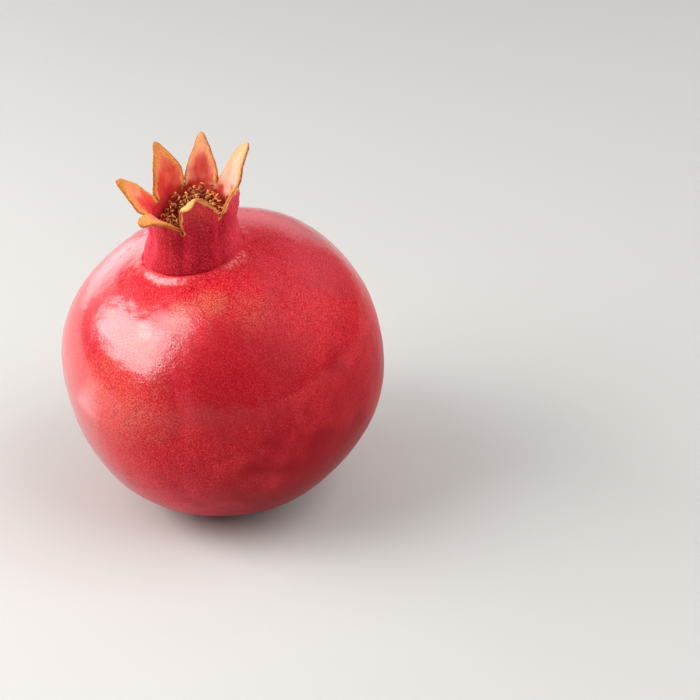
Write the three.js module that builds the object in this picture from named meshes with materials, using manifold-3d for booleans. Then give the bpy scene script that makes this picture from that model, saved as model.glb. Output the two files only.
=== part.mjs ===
// A whole pomegranate: the round leathery fruit with its calyx crown of seven pointed sepals, the
// dried stamens inside the crown, and the cut stalk in the hollow of the stem end.
//
// Millimetres, +Z up. Each piece is drawn in the fruit's own frame: its origin is the middle of the
// equator, its +Z runs up the fruit's axis to the crown, and azimuth 0 is towards -Y and grows
// towards +X. The exported group leans the fruit and sets it down on the flat spot it rests on.
import * as THREE from "three";
import { mergeVertices } from "three/addons/utils/BufferGeometryUtils.js";
import Module from "manifold-3d";

// ------------------------------------------------------------------ driving dimensions

// The fruit.
const EQUATOR_RADIUS = 46.1;
const CROWN_END_HEIGHT = 39.8; // from the equator up to where the skin would close without a crown
const STEM_END_HEIGHT = 43.9; // from the equator down to the underside, its hollow left out
const FULLNESS = 2.19; // exponent of the outline: 2 is an ellipse, more is squarer
const RIDGE_COUNT = 6; // soft ridges that the chambers inside raise on the skin
const RIDGE_HEIGHT = 0.45;
const RIDGE_AZIMUTH = 24;

// The stem end.
const HOLLOW_DEPTH = 2.0;
const HOLLOW_RADIUS = 6.5;
const STALK_RADIUS = 3.0;
const STALK_LENGTH = 4.0;
const STALK_PROUD = 0.5; // how far the cut end stands out of the hollow's floor
const GAP = 0.35; // clear space between two pieces

// How the fruit lies.
const LEAN = 13.6; // degrees from upright
const LEAN_AZIMUTH = -46.7; // the azimuth that the crown leans to
const REST_CUT = 0.85; // depth of skin that is pressed flat where the fruit rests

// The crown's tube: a foot on the skin, a bulge above it, a waist and a rim.
const FOOT_RADIUS = 16.2;
const FOOT_REACH = 0.8; // how fast the foot draws in, going up
const BULGE_RADIUS = 13.8;
const BULGE_HEIGHT = 40.5;
const WAIST_RADIUS = 12.4;
const WAIST_HEIGHT = 47.5;
const RIM_RADIUS = 13.3;
const RIM_HEIGHT = 53.5; // where the notches between the sepals start
const RIM_WALL = 1.75;
const TUBE_SLANT = 3.3; // the rim's shift towards +X
const SLANT_START = 39.7; // height at which that shift begins
const FLUTE_DEPTH = 0.35; // grooves that run down the tube from the notches
const FLUTE_WIDTH = 7; // degrees
const WELL_FLOOR = 42.6; // height of the groove round the floor inside the tube
const WELL_RADIUS = 9.7; // outer radius of that groove
const DOME_RADIUS = 7.0; // the floor's raised middle
const DOME_RISE = 2.2;

// The sepals. One tilts outwards by flare at its root and by curl more at its tip, and bend gathers
// the curl at the tip. side is the tip's shift along the rim, and turn the turn of its middle plane.
// taper, belly and tip (the tip's half width) shape its outline, cup is how much tighter than the
// tube it is rolled, twist turns it about its own length, and hem is how far its margins roll back
// outwards. Angles are in degrees; length, side, tip and hem in millimetres.
const LEAF = { turn: 0, belly: 0, hem: 0.2 };
const SEPALS = [
  {
    ...LEAF, length: 15.0, flare: 10, curl: 108, bend: 4.0, side: -3.2,
    turn: 1.5, taper: 1.5, cup: 1.3, twist: 24, tip: 0.9, hem: 1.2,
  },
  { ...LEAF, length: 6.8, flare: 4, curl: 12, bend: 2, side: 0.9, taper: 1.5, cup: 1.0, twist: -4, tip: 0.5 },
  {
    ...LEAF, length: 14.9, flare: 17, curl: 23, bend: 2.2, side: -2.9,
    turn: -2.3, taper: 1.0, belly: 0.08, cup: 1.14, twist: 11, tip: 0.9,
  },
  {
    ...LEAF, length: 13.7, flare: 11.5, curl: 3, bend: 2, side: -1.7,
    taper: 0.9, belly: 0.1, cup: 0.87, twist: 7, tip: 0.4,
  },
  {
    ...LEAF, length: 14.0, flare: 3.7, curl: 20, bend: 2, side: -0.7,
    turn: -5.2, taper: 1.5, cup: 1.4, twist: 20, tip: 0.45,
  },
  {
    ...LEAF, length: 13.2, flare: 21, curl: 23, bend: 2.1, side: 0.3,
    turn: -1.6, taper: 1.5, cup: 0.3, twist: -11, tip: 0.5,
  },
  {
    ...LEAF, length: 12.3, flare: 22.6, curl: 66, bend: 1.5, side: 0.7,
    turn: 1.7, taper: 1.15, cup: 1.06, twist: -12, tip: 0.8, hem: 0.6,
  },
];
const FIRST_SEPAL_AZIMUTH = 15;
const NOTCH_LIFTS = [1.2, 0, 0, 0, 0, 0.4, -1.0]; // each notch above the rim, from the first sepal's on
const NOTCH_OPENING = 0.06; // share of a sepal's width that a notch takes
const SEPAL_THICKNESS = 1.5; // at the middle of the root
const EDGE_THICKNESS = 0.75; // at the edges and the tip
const HEM_START = 0.5; // share of the half width at which the margins begin to roll back

// The stamens: a mat of filament feet in the well, and the filaments that stand out of it.
const MAT_TOP = 46.6;
const MAT_EDGE_RISE = 2.2; // the mat climbs the wall
const STAMEN_COUNT = 112;
const STAMEN_TOP = 50.6; // mean height of the anthers
const STAMEN_TOP_SWAY = 3.2; // how much higher they stand on one side than at the middle
const STAMEN_TOP_AZIMUTH = 150; // that side
const STAMEN_FIELD = 9.9; // radius that all of them stay within
const FILAMENT_RADIUS = 0.34;
const ANTHER = [0.66, 0.5, 1.0]; // half its width, thickness and length
const STYLE_RADIUS = 0.75;
const STYLE_TOP = 53;
const SEED = 7;

// How finely the surfaces are cut into flat faces.
const SEPAL_COLUMNS = 8; // points across a sepal, and as many round the fruit for each sepal
const SEPAL_ROWS = 9;
const SKIN_ROWS = 26;

// ------------------------------------------------------------------ small helpers

const SEPAL_HALF_ANGLE = Math.PI / SEPALS.length;
const radians = THREE.MathUtils.degToRad;
const mix = THREE.MathUtils.lerp;
const ease = THREE.MathUtils.smoothstep;

// The point at a radius, azimuth (in radians) and height.
function polar(radius, azimuth, height) {
  return new THREE.Vector3(radius * Math.sin(azimuth), -radius * Math.cos(azimuth), height);
}

// A repeatable source of random numbers from 0 to 1.
function randomSource(seed) {
  let state = seed;
  return () => {
    state = (state + 0x6d2b79f5) | 0;
    let bits = Math.imul(state ^ (state >>> 15), 1 | state);
    bits = (bits + Math.imul(bits ^ (bits >>> 7), 61 | bits)) ^ bits;
    return ((bits ^ (bits >>> 14)) >>> 0) / 4294967296;
  };
}

// How far towards +X the crown's tube and what it holds are shifted at a height.
function slant(height) {
  const climb = Math.max(0, height - SLANT_START) / (RIM_HEIGHT - SLANT_START);
  return TUBE_SLANT * Math.min(1, climb);
}

// ------------------------------------------------------------------ closed meshes and solids

// Triangles between neighbouring rings. Going from ring to ring, and round each ring with growing
// azimuth, the faces look outwards. A ring whose points coincide closes the mesh.
function bandTriangles(rings) {
  const triangles = [];
  for (let row = 0; row + 1 < rings.length; row += 1) {
    const from = rings[row];
    const to = rings[row + 1];
    for (let column = 0; column < from.length; column += 1) {
      const next = (column + 1) % from.length;
      triangles.push([from[column], from[next], to[next]]);
      triangles.push([from[column], to[next], to[column]]);
    }
  }
  return triangles;
}

const wasm = await Module();
wasm.setup();

function solidFromGeometry(geometry) {
  const bare = geometry.clone();
  bare.deleteAttribute("normal");
  bare.deleteAttribute("uv");
  const merged = mergeVertices(bare, 1e-5);
  const corners = merged.index.array;
  const kept = [];
  for (let at = 0; at < corners.length; at += 3) {
    const [a, b, c] = corners.slice(at, at + 3);
    if (a !== b && b !== c && c !== a) {
      kept.push(a, b, c);
    }
  }
  const vertProperties = new Float32Array(merged.attributes.position.array);
  const triVerts = new Uint32Array(kept);
  return new wasm.Manifold(new wasm.Mesh({ numProp: 3, vertProperties, triVerts }));
}

function solidFromTriangles(triangles) {
  return solidFromGeometry(new THREE.BufferGeometry().setFromPoints(triangles.flat()));
}

function geometryFromSolid(solid) {
  const { vertProperties, triVerts, numProp } = solid.getMesh();
  const geometry = new THREE.BufferGeometry();
  geometry.setAttribute("position", new THREE.BufferAttribute(vertProperties.slice(), numProp));
  geometry.setIndex(new THREE.BufferAttribute(triVerts.slice(), 1));
  geometry.computeVertexNormals();
  return geometry;
}

// ------------------------------------------------------------------ the fruit's skin

// A point of the skin's outline, by its angle above the equator.
function skinOutline(angle) {
  const end = angle < 0 ? STEM_END_HEIGHT : CROWN_END_HEIGHT;
  const radius = EQUATOR_RADIUS * Math.cos(angle) ** (2 / FULLNESS);
  const height = end * Math.sign(angle) * Math.abs(Math.sin(angle)) ** (2 / FULLNESS);
  return { radius, height };
}

// The angle above the equator at which the outline has a radius.
function outlineAngle(radius) {
  return Math.acos((radius / EQUATOR_RADIUS) ** (FULLNESS / 2));
}

// The azimuths of the columns: even over the skin, and gathered into sepals at the rim.
function columnAzimuths(gathered) {
  const azimuths = [];
  for (let sepal = 0; sepal < SEPALS.length; sepal += 1) {
    const middle = radians(FIRST_SEPAL_AZIMUTH) + 2 * SEPAL_HALF_ANGLE * sepal;
    for (let column = 0; column < SEPAL_COLUMNS; column += 1) {
      const even = (2 * column + 1) / SEPAL_COLUMNS - 1;
      const across = sepalAcross(column) * (1 - NOTCH_OPENING);
      azimuths.push(middle + SEPAL_HALF_ANGLE * mix(even, across, gathered));
    }
  }
  return azimuths;
}

// Where a column stands across its sepal, from -1 at one edge to 1 at the other.
function sepalAcross(column) {
  return (2 * column) / (SEPAL_COLUMNS - 1) - 1;
}

// A ring of the skin, with the ridges of the chambers and the hollow of the stem end.
function skinRing({ radius, height }) {
  const fullness = (radius / EQUATOR_RADIUS) ** 2;
  const hollow = height < 0 ? HOLLOW_DEPTH * Math.exp(-((radius / HOLLOW_RADIUS) ** 2)) : 0;
  return columnAzimuths(0).map((azimuth) => {
    const ridge = RIDGE_HEIGHT * fullness * Math.cos(RIDGE_COUNT * (azimuth - radians(RIDGE_AZIMUTH)));
    return polar(radius + ridge, azimuth, height + hollow);
  });
}

// The hole that the stalk stands in, from its floor to the hollow.
function stalkHoleRings() {
  const holeRadius = STALK_RADIUS + GAP;
  const floor = stalkFoot() + STALK_LENGTH + GAP;
  return [0, holeRadius].map((radius) => columnAzimuths(0).map((azimuth) => polar(radius, azimuth, floor)));
}

// The height of the stalk's cut end.
function stalkFoot() {
  return HOLLOW_DEPTH - STEM_END_HEIGHT - STALK_PROUD;
}

function skinRings() {
  const first = -outlineAngle(STALK_RADIUS + GAP);
  const last = outlineAngle(FOOT_RADIUS);
  const rings = [];
  for (let row = 0; row <= SKIN_ROWS; row += 1) {
    rings.push(skinRing(skinOutline(mix(first, last, row / SKIN_ROWS))));
  }
  return rings;
}

// ------------------------------------------------------------------ the crown's tube

// The radius of the tube's outside at a height.
function tubeRadius(height) {
  const foot = Math.exp(-(height - footHeight()) / FOOT_REACH) * (FOOT_RADIUS - BULGE_RADIUS);
  const bulge = (1 - ease(height, BULGE_HEIGHT, WAIST_HEIGHT)) * (BULGE_RADIUS - WAIST_RADIUS);
  const rim = ease(height, WAIST_HEIGHT, RIM_HEIGHT) * (RIM_RADIUS - WAIST_RADIUS);
  return WAIST_RADIUS + foot + bulge + rim;
}

// The height at which the tube's foot leaves the skin.
function footHeight() {
  return skinOutline(outlineAngle(FOOT_RADIUS)).height;
}

function tubeOuterRing(height) {
  const gathered = ease(height, BULGE_HEIGHT, RIM_HEIGHT);
  return columnAzimuths(gathered).map((azimuth) => {
    const flute = FLUTE_DEPTH * gathered * notchNearness(azimuth);
    const point = polar(tubeRadius(height) - flute, azimuth, height);
    point.x += slant(height);
    return point;
  });
}

// 1 at the azimuth of a notch, falling to 0 beside it.
function notchNearness(azimuth) {
  const fromSepal = (azimuth - radians(FIRST_SEPAL_AZIMUTH)) / (2 * SEPAL_HALF_ANGLE) - 0.5;
  const fromNotch = (fromSepal - Math.round(fromSepal)) * 2 * SEPAL_HALF_ANGLE;
  return Math.exp(-((fromNotch / radians(FLUTE_WIDTH)) ** 2));
}

function tubeRings() {
  const climbs = [0.02, 0.06, 0.12, 0.22, 0.34, 0.47, 0.62, 0.8];
  return climbs.map((climb) => tubeOuterRing(mix(footHeight(), RIM_HEIGHT, climb)));
}

// The well inside the tube: down the wall, round the groove and up to the middle of the floor.
function wellRings() {
  const wall = WAIST_RADIUS + 0.15 - RIM_WALL;
  const outline = [
    [wall + 0.2, mix(WELL_FLOOR, RIM_HEIGHT, 0.6)],
    [wall, mix(WELL_FLOOR, RIM_HEIGHT, 0.2)],
    [WELL_RADIUS, WELL_FLOOR],
    [DOME_RADIUS, WELL_FLOOR],
    [DOME_RADIUS / 2, WELL_FLOOR + 0.7 * DOME_RISE],
    [0, WELL_FLOOR + DOME_RISE],
  ];
  return outline.map(([radius, height]) => {
    const gathered = ease(height, WELL_FLOOR, RIM_HEIGHT);
    return columnAzimuths(gathered).map((azimuth) => {
      const point = polar(radius, azimuth, height);
      point.x += slant(height);
      return point;
    });
  });
}

// ------------------------------------------------------------------ the sepals

// A sepal's tilt outwards, in radians, at a share of its length.
function sepalTilt(form, along) {
  return radians(form.flare * ease(along, 0, 0.3) + form.curl * along ** form.bend);
}

// How far out and up a sepal's middle line has come at a share of its length.
function sepalReach(form, along) {
  const steps = 24;
  const reach = { out: 0, up: 0 };
  for (let step = 0; step < steps; step += 1) {
    const tilt = sepalTilt(form, (along * (step + 0.5)) / steps);
    reach.out += (form.length * along * Math.sin(tilt)) / steps;
    reach.up += (form.length * along * Math.cos(tilt)) / steps;
  }
  return reach;
}

// A point of a sepal's outer face and the direction the face looks in there. across runs from -1 at
// one edge to 1 at the other, and along from 0 at the rim to 1 at the tip.
function sepalFace(sepal, across, along) {
  const form = SEPALS[sepal];
  const middle = radians(FIRST_SEPAL_AZIMUTH) + 2 * SEPAL_HALF_ANGLE * sepal;
  const tilt = sepalTilt(form, along);
  const reach = sepalReach(form, along);
  const radius = RIM_RADIUS + reach.out;
  const height = RIM_HEIGHT + reach.up;
  const width = (1 + form.belly * along) * (1 - along ** form.taper);

  // The sepal as a piece of the tube carried on upwards.
  const tubeAngle = across * width * SEPAL_HALF_ANGLE * (1 - NOTCH_OPENING);
  const flute = FLUTE_DEPTH * notchNearness(middle + tubeAngle);
  const tubePoint = polar(radius - flute, middle + tubeAngle, height);
  const tubeNormal = polar(Math.cos(tilt), middle + tubeAngle, -Math.sin(tilt));

  // The sepal as a leaf of its own, rolled about its middle line, turned and twisted.
  const turned = middle + radians(form.turn);
  const outward = polar(Math.cos(tilt), turned, -Math.sin(tilt));
  const sideways = polar(1, turned + Math.PI / 2, 0);
  const lengthwise = outward.clone().cross(sideways);
  const twisted = radians(form.twist) * along;
  const leafNormal = outward.clone().applyAxisAngle(lengthwise, twisted);
  const leafSide = sideways.clone().applyAxisAngle(lengthwise, twisted);
  const rollRadius = mix(RIM_RADIUS, RIM_RADIUS / form.cup, ease(along, 0, 0.4));
  const halfWidth = SEPAL_HALF_ANGLE * RIM_RADIUS * width + form.tip * along;
  const roll = (across * halfWidth) / rollRadius;
  const rootHalfWidth = SEPAL_HALF_ANGLE * RIM_RADIUS;
  const hem = (form.hem * halfWidth) / rootHalfWidth;
  const inHem = Math.max(0, Math.abs(across) - HEM_START) / (1 - HEM_START);
  const hemSlope = (2 * form.hem * inHem) / (1 - HEM_START) / rootHalfWidth;
  const leafPoint = polar(radius, turned, height);
  leafPoint.addScaledVector(sideways, form.side * along ** 1.3);
  leafPoint.addScaledVector(leafNormal, (Math.cos(roll) - 1) * rollRadius + hem * inHem ** 2);
  leafPoint.addScaledVector(leafSide, Math.sin(roll) * rollRadius);
  const normalTurn = roll - Math.sign(across) * Math.atan(hemSlope);
  leafNormal.multiplyScalar(Math.cos(normalTurn)).addScaledVector(leafSide, Math.sin(normalTurn));

  const free = ease(along, 0, 0.35);
  const point = tubePoint.lerp(leafPoint, free);
  const lift = mix(NOTCH_LIFTS.at(sepal - 1), NOTCH_LIFTS[sepal], (across + 1) / 2);
  point.z += lift * (1 - ease(along, 0, 0.5));
  point.x += TUBE_SLANT;
  return { point, normal: tubeNormal.lerp(leafNormal, free).normalize() };
}

function sepalThickness(across, along) {
  const middle = mix(SEPAL_THICKNESS, EDGE_THICKNESS, along);
  const free = mix(EDGE_THICKNESS, middle, Math.sqrt(1 - across ** 2));
  return mix(RIM_WALL, free, ease(along, 0, 0.25));
}

// Towards the tip a sepal has fewer columns: neighbouring ones run together.
function gatheredAcross(column, row) {
  const across = sepalAcross(column);
  if (row < SEPAL_ROWS - 1) {
    return across;
  }
  const halfCount = row < SEPAL_ROWS ? 1.5 : 0.5;
  return (Math.round(across * halfCount + 0.5) - 0.5) / halfCount;
}

// A ring round a sepal: along its outer face with growing azimuth, and back along its inner face.
function sepalRing(sepal, row) {
  const outer = [];
  const inner = [];
  for (let column = 0; column < SEPAL_COLUMNS; column += 1) {
    const across = THREE.MathUtils.clamp(gatheredAcross(column, row), -1, 1);
    const { point, normal } = sepalFace(sepal, across, row / SEPAL_ROWS);
    outer.push(point);
    inner.unshift(point.clone().addScaledVector(normal, -sepalThickness(across, row / SEPAL_ROWS)));
  }
  return { outer, inner, all: [...outer, ...inner] };
}

function sepalTriangles(sepal) {
  const rings = [];
  for (let row = 0; row <= SEPAL_ROWS; row += 1) {
    rings.push(sepalRing(sepal, row));
  }
  const tip = rings.at(-1);
  const tipMiddle = tip.all.map((point) => point.clone());
  tip.outer.forEach((point, column) => {
    tipMiddle[column] = tip.inner[SEPAL_COLUMNS - 1 - column].clone();
  });
  return bandTriangles([...rings.map((ring) => ring.all), tipMiddle]);
}

// The floors of the notches, each between one sepal's edge and the next one's.
function notchTriangles() {
  const triangles = [];
  for (let sepal = 0; sepal < SEPALS.length; sepal += 1) {
    const here = sepalRing(sepal, 0);
    const next = sepalRing((sepal + 1) % SEPALS.length, 0);
    const [outerHere, innerHere] = [here.outer.at(-1), here.inner.at(0)];
    const [outerNext, innerNext] = [next.outer.at(0), next.inner.at(-1)];
    triangles.push([outerHere, outerNext, innerNext]);
    triangles.push([outerHere, innerNext, innerHere]);
  }
  return triangles;
}

// ------------------------------------------------------------------ how the fruit lies

// The lowest point of the leaning skin, in the fruit's frame.
function restingPoint() {
  const steepness = (Math.tan(radians(LEAN)) * EQUATOR_RADIUS) / STEM_END_HEIGHT;
  const ratio = steepness ** (1 / (FULLNESS - 1));
  const share = (1 + ratio ** FULLNESS) ** (-1 / FULLNESS);
  return polar(EQUATOR_RADIUS * ratio * share, radians(LEAN_AZIMUTH), -STEM_END_HEIGHT * share);
}

// The group that leans the fruit and sets it down with its flat spot round the part's origin.
function leaningGroup() {
  const group = new THREE.Group();
  const crownAxis = polar(Math.sin(radians(LEAN)), radians(LEAN_AZIMUTH), Math.cos(radians(LEAN)));
  group.quaternion.setFromUnitVectors(new THREE.Vector3(0, 0, 1), crownAxis);
  group.position.copy(restingPoint().applyQuaternion(group.quaternion).negate());
  group.position.z -= REST_CUT;
  group.updateMatrix();
  return group;
}

// What the ground presses flat: a block below the plane Z = 0, in the fruit's frame.
function groundSolid(group) {
  const size = 80;
  const depth = 10;
  const ground = new THREE.BoxGeometry(size, size, depth);
  ground.translate(0, 0, -depth / 2);
  ground.applyMatrix4(group.matrix.clone().invert());
  return solidFromGeometry(ground);
}

// ------------------------------------------------------------------ the pieces

function fruitGeometry(group) {
  const rims = SEPALS.map((_, sepal) => sepalRing(sepal, 0));
  const outerRim = rims.flatMap((rim) => rim.outer);
  const innerRim = rims.flatMap((rim) => [...rim.inner].reverse());
  const outside = bandTriangles([...stalkHoleRings(), ...skinRings(), ...tubeRings(), outerRim]);
  const inside = bandTriangles([innerRim, ...wellRings()]);
  const sepals = SEPALS.flatMap((_, sepal) => sepalTriangles(sepal));
  const whole = solidFromTriangles([...outside, ...inside, ...sepals, ...notchTriangles()]);
  return geometryFromSolid(whole.subtract(groundSolid(group)));
}

// The mat that the filaments stand in: it lies clear of the well and climbs its wall a little.
function matSolid() {
  const floor = WELL_FLOOR + GAP + 0.15;
  const outline = [
    [0, floor + DOME_RISE],
    [DOME_RADIUS / 2, floor + 0.7 * DOME_RISE],
    [DOME_RADIUS, floor],
    [WELL_RADIUS - GAP - 0.2, floor],
    [STAMEN_FIELD + 0.3, MAT_TOP + 0.2 * MAT_EDGE_RISE],
    [STAMEN_FIELD + 0.3, MAT_TOP + 0.9 * MAT_EDGE_RISE],
    [STAMEN_FIELD - 0.6, MAT_TOP + MAT_EDGE_RISE],
    [DOME_RADIUS, MAT_TOP + 0.2 * MAT_EDGE_RISE],
    [0, MAT_TOP],
  ];
  const rings = outline.map(([radius, height]) => columnAzimuths(0)
    .filter((_, column) => column % 2 === 0)
    .map((azimuth) => polar(radius, azimuth, height)));
  return solidFromTriangles(bandTriangles(rings));
}

// A three-sided filament through the points of its path, thinner at its end.
function filamentSolid(path, radius) {
  const sides = 3;
  const rings = path.map((centre, at) => {
    const thickness = radius * mix(1, 0.7, at / (path.length - 1));
    const ring = [];
    for (let side = 0; side < sides; side += 1) {
      ring.push(polar(thickness, (2 * Math.PI * side) / sides, 0).add(centre));
    }
    return ring;
  });
  const foot = rings[0].map(() => path[0]);
  const end = rings[0].map(() => path.at(-1));
  return solidFromTriangles(bandTriangles([foot, ...rings, end]));
}

// An anther: a small ellipsoid at the filament's end, turned every way.
function antherSolid(centre, random) {
  const anther = new THREE.IcosahedronGeometry(1, 0);
  anther.scale(...ANTHER);
  anther.rotateX(Math.PI * random());
  anther.rotateZ(Math.PI * random());
  anther.translate(centre.x, centre.y, centre.z);
  return solidFromGeometry(anther);
}

// One stamen: its filament climbs beside the wall and bends towards the middle, to its anther.
function stamenSolids(azimuth, random) {
  const footRadius = mix(0.5, 0.98, random() ** 0.6) * STAMEN_FIELD;
  const lean = mix(0.2, 3.6, random() ** 1.6);
  const sway = mix(-0.12, 0.12, random());
  const topMean = STAMEN_TOP + STAMEN_TOP_SWAY * Math.cos(azimuth - radians(STAMEN_TOP_AZIMUTH));
  const inwards = lean + STAMEN_FIELD - footRadius;
  const top = Math.max(MAT_TOP + 1.5, topMean + mix(-1.2, 1.2, random()) - 0.3 * inwards);
  const foot = polar(footRadius, azimuth, MAT_TOP - 0.4);
  const middle = polar(footRadius - 0.1 * lean, azimuth + 0.4 * sway, mix(MAT_TOP, top, 0.6));
  const end = polar(Math.min(footRadius, STAMEN_FIELD - 0.4) - lean, azimuth + sway, top);
  return [filamentSolid([foot, middle, end], FILAMENT_RADIUS), antherSolid(end, random)];
}

// The style in the middle, with its knob.
function styleSolid() {
  const style = new THREE.LatheGeometry([
    new THREE.Vector2(0, MAT_TOP - 1.2),
    new THREE.Vector2(STYLE_RADIUS, MAT_TOP - 1.2),
    new THREE.Vector2(0.7 * STYLE_RADIUS, mix(MAT_TOP, STYLE_TOP, 0.6)),
    new THREE.Vector2(1.2 * STYLE_RADIUS, mix(MAT_TOP, STYLE_TOP, 0.85)),
    new THREE.Vector2(0, STYLE_TOP),
  ], 7);
  style.rotateX(Math.PI / 2);
  return solidFromGeometry(style);
}

function stamensGeometry() {
  const random = randomSource(SEED);
  const solids = [matSolid(), styleSolid()];
  for (let stamen = 0; stamen < STAMEN_COUNT; stamen += 1) {
    const azimuth = (2 * Math.PI * (stamen + 0.7 * random())) / STAMEN_COUNT;
    solids.push(...stamenSolids(azimuth, random));
  }
  const joined = wasm.Manifold.union(solids).warp((point) => {
    point[0] += slant(point[2]);
  });
  return geometryFromSolid(joined);
}

function stalkGeometry() {
  const bevel = 0.35;
  const stalk = new THREE.LatheGeometry([
    new THREE.Vector2(0, 0),
    new THREE.Vector2(STALK_RADIUS - 2 * bevel, 0),
    new THREE.Vector2(STALK_RADIUS - bevel, bevel),
    new THREE.Vector2(STALK_RADIUS, STALK_LENGTH),
    new THREE.Vector2(0, STALK_LENGTH),
  ], 14);
  stalk.rotateX(Math.PI / 2);
  return geometryFromSolid(solidFromGeometry(stalk));
}

// ------------------------------------------------------------------ materials and the part

const finish = {
  skin: new THREE.MeshStandardMaterial({ color: 0xb8202e, roughness: 0.42, metalness: 0 }),
  driedStamen: new THREE.MeshStandardMaterial({ color: 0x9a5a22, roughness: 0.85, metalness: 0 }),
  stalkWood: new THREE.MeshStandardMaterial({ color: 0x6e4a2c, roughness: 0.9, metalness: 0 }),
};

function piece(name, geometry, material) {
  const mesh = new THREE.Mesh(geometry, material);
  mesh.name = name;
  return mesh;
}

const pomegranate = leaningGroup();
pomegranate.add(piece("fruit", fruitGeometry(pomegranate), finish.skin));
pomegranate.add(piece("stamens", stamensGeometry(), finish.driedStamen));
const stalk = piece("stalk", stalkGeometry(), finish.stalkWood);
stalk.position.z = stalkFoot();
pomegranate.add(stalk);

const part = new THREE.Group();
part.add(pomegranate);

export default part;
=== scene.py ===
"""How a whole pomegranate looks: its leathery red skin, the crown of dried sepals, the stamens
inside the crown and the cut stalk underneath, on a plain pale floor in soft studio light.

Each piece is drawn in millimetres in the fruit's own frame: its origin is the middle of the
equator, its +Z runs up the fruit's axis to the crown, and azimuth 0 is towards -Y and grows
towards +X. place() leans the fruit, sets it down and turns millimetres into metres.
"""

import math

import bpy
import numpy as np
from mathutils import Matrix, Vector, noise


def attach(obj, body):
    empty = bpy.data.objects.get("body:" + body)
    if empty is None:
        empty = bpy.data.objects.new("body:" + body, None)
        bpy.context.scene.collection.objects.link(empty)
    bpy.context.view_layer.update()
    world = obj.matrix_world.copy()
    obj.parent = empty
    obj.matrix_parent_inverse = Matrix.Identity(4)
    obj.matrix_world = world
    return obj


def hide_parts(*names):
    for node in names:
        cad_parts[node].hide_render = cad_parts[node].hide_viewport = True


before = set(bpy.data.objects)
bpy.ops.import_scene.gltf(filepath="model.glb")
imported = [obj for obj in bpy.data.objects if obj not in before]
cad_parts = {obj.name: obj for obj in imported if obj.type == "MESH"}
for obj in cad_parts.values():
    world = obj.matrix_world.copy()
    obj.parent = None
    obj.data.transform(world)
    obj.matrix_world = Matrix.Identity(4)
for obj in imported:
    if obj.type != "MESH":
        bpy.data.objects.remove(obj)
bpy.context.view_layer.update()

# ---------------- the fruit's dimensions

# The skin.
EQUATOR_RADIUS = 46.1
CROWN_END_HEIGHT = 39.8
STEM_END_HEIGHT = 43.9
FULLNESS = 2.19
RIDGE_COUNT = 6
RIDGE_HEIGHT = 0.45
RIDGE_AZIMUTH = 24
HOLLOW_DEPTH = 2.0
HOLLOW_RADIUS = 6.5
STALK_RADIUS = 3.0
STALK_LENGTH = 4.0
STALK_PROUD = 0.5
GAP = 0.35

# How the fruit lies.
LEAN = 13.6
LEAN_AZIMUTH = -46.7
REST_CUT = 0.85

# The crown's tube, which stands in a crease of the skin behind a low collar.
COLLAR_RADIUS = 14.4
COLLAR_RISE = 0.45
COLLAR_REACH = 1.5
CREASE_HEIGHT = 38.55
FRONT_RISE = 0.35
FRONT_INSET = 1.3
SHOULDER_SLOPE = 0.2
CREASE_REACH = 0.5
UNDERCUT = 0.3
BULGE_RADIUS = 13.8
BULGE_HEIGHT = 40.5
WAIST_RADIUS = 12.4
WAIST_HEIGHT = 47.5
RIM_RADIUS = 13.3
RIM_HEIGHT = 53.5
RIM_WALL = 1.75
TUBE_SLANT = 3.3
SLANT_START = 39.7
FLUTE_DEPTH = 0.85
FLUTE_WIDTH = 8
WELL_FLOOR = 42.6
WELL_RADIUS = 9.7
DOME_RADIUS = 7.0
DOME_RISE = 2.2

# The sepals. Each flares out from the rim, curls further out by its tip (late where its bend is
# high), leans to a side, turns, narrows (late where its taper is high), has a belly, is cupped,
# twists, and has a blunt tip and turned hems. Pallor says how pale its inside is, stain how red
# the middle of that is, and tan how dry its margins are.
SEPAL_FIELDS = (
    "length", "flare", "curl", "bend", "side", "turn", "taper", "belly",
    "cup", "twist", "tip", "hem", "pallor", "stain", "tan",
)
SEPALS = [
    dict(zip(SEPAL_FIELDS, values))
    for values in (
        (15.0, 10.0, 108, 4.0, -3.2, 1.5, 1.50, 0.00, 1.30, 24, 0.90, 1.2, 1.0, 0.0, 1.0),
        (6.8, 4.0, 12, 2.0, 0.9, 0.0, 1.50, 0.00, 1.00, -4, 0.50, 0.2, 1.0, 0.0, 1.0),
        (14.9, 17.0, 23, 2.2, -2.9, -2.3, 1.00, 0.08, 1.14, 11, 0.90, 0.2, 1.0, 0.0, 0.7),
        (13.7, 11.5, 3, 2.0, -1.7, 0.0, 0.90, 0.10, 0.87, 7, 0.40, 0.2, 0.85, 0.9, 0.7),
        (14.0, 3.7, 20, 2.0, -0.7, -5.2, 1.50, 0.00, 1.40, 20, 0.45, 0.2, 0.2, 0.3, 1.0),
        (13.2, 21.0, 23, 2.1, 0.3, -1.6, 1.50, 0.00, 0.30, -11, 0.50, 0.2, 0.25, 0.0, 1.0),
        (12.3, 22.6, 66, 1.5, 0.7, 1.7, 1.15, 0.00, 1.06, -12, 0.80, 0.6, 0.3, 0.0, 1.0),
    )
]
FIRST_SEPAL_AZIMUTH = 15
STAIN_PLACE = 0.34
NOTCH_LIFTS = (1.2, 0, 0, 0, 0, 0.4, -1.0)  # of the notch after each sepal
NOTCH_OPENING = 0.06
SEPAL_THICKNESS = 1.5
EDGE_THICKNESS = 0.75
HEM_START = 0.5
WALL_TAN = 0.6  # how dry the margins of the tube are, in its notches

# What follows from these.
SEPAL_HALF_ANGLE = math.pi / len(SEPALS)
STALK_FOOT = HOLLOW_DEPTH - STEM_END_HEIGHT - STALK_PROUD

# ---------------- small helpers


def mix(start, end, share):
    return start + (end - start) * share


def ease(value, start, end):
    share = np.clip((value - start) / (end - start), 0, 1)
    return share * share * (3 - 2 * share)


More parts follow.
